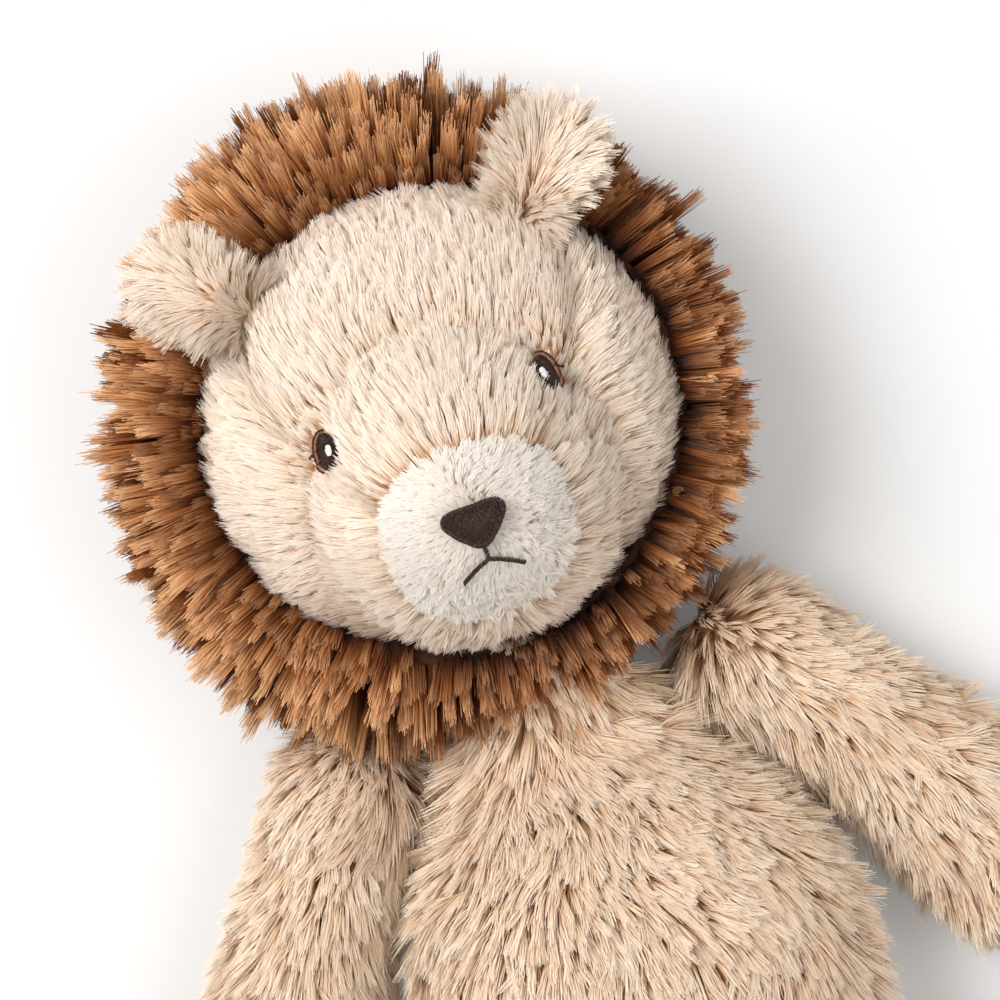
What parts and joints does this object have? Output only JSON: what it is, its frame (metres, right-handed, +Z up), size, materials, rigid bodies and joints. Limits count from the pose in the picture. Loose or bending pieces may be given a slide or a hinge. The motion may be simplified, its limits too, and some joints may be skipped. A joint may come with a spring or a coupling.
{
  "type": "plush lion",
  "caption": "Soft plush lion with a round shaggy brown mane, cream face, white muzzle and floppy limbs, lying on its back.",
  "frame": {"origin": "middle of the bounding box at the ground, with the toy lying on its back", "axes": "+Y from the feet to the top of the mane, +Z up out of the chest and face, +X to the toy's own left"},
  "size_m": [0.3114, 0.4996, 0.1288],
  "materials": {
    "body_plush": "beige pile of middle length, brushed down the body",
    "face_plush": "cream pile, brushed up the forehead and out over the cheeks",
    "muzzle_plush": "short white pile",
    "mane_plush": "long brown pile in blunt tufts",
    "brown_thread": "satin stitch embroidery",
    "white_thread": "satin stitch embroidery",
    "filling": "polyester fibre filling",
    "pouch": "woven cotton pouch of pellets"
  },
  "bodies": {
    "torso": {"chest_panel": "body_plush", "back_panel": "body_plush", "torso_filling": "filling", "pellet_pouch": "pouch"},
    "head": {"forehead_gusset": "face_plush", "cheek_left": "face_plush", "cheek_right": "face_plush", "muzzle_patch": "muzzle_plush", "nose_embroidery": "brown_thread", "mouth_embroidery": "brown_thread", "eye_left": "brown_thread", "eye_right": "brown_thread", "eye_glint_left": "white_thread", "eye_glint_right": "white_thread", "ear_front_left": "face_plush", "ear_back_left": "face_plush", "ear_front_right": "face_plush", "ear_back_right": "face_plush", "mane_ring": "mane_plush", "mane_hood": "mane_plush", "head_filling": "filling"},
    "arm_left": {"arm_front_left": "body_plush", "arm_back_left": "body_plush", "arm_filling_left": "filling"},
    "arm_right": {"arm_front_right": "body_plush", "arm_back_right": "body_plush", "arm_filling_right": "filling"},
    "leg_left": {"leg_front_left": "body_plush", "leg_back_left": "body_plush", "foot_sole_left": "body_plush", "leg_filling_left": "filling"},
    "leg_right": {"leg_front_right": "body_plush", "leg_back_right": "body_plush", "foot_sole_right": "body_plush", "leg_filling_right": "filling"},
    "tail": {"tail_tube": "body_plush", "tail_tuft": "mane_plush"}
  },
  "joints": [
    {"name": "neck_nod", "type": "hinge", "parent": "torso", "child": "head", "pos_m": [0, 0.05778, 0.034], "axis": [1, 0, 0], "range_deg": [0, 30]},
    {"name": "shoulder_left", "type": "hinge", "parent": "torso", "child": "arm_left", "pos_m": [0.069, 0.04079, 0.027], "axis": [-1, 0, 0], "range_deg": [0, 80]},
    {"name": "shoulder_right", "type": "hinge", "parent": "torso", "child": "arm_right", "pos_m": [-0.069, 0.04079, 0.027], "axis": [-1, 0, 0], "range_deg": [0, 80]},
    {"name": "hip_left", "type": "hinge", "parent": "torso", "child": "leg_left", "pos_m": [0.046, -0.11222, 0.0315], "axis": [-1, 0, 0], "range_deg": [0, 80]},
    {"name": "hip_right", "type": "hinge", "parent": "torso", "child": "leg_right", "pos_m": [-0.046, -0.11222, 0.0315], "axis": [-1, 0, 0], "range_deg": [0, 80]},
    {"name": "tail_sway", "type": "hinge", "parent": "torso", "child": "tail", "pos_m": [0, -0.10522, 0.0075], "axis": [0, 0, 1], "range_deg": [-10, 10]}
  ]
}
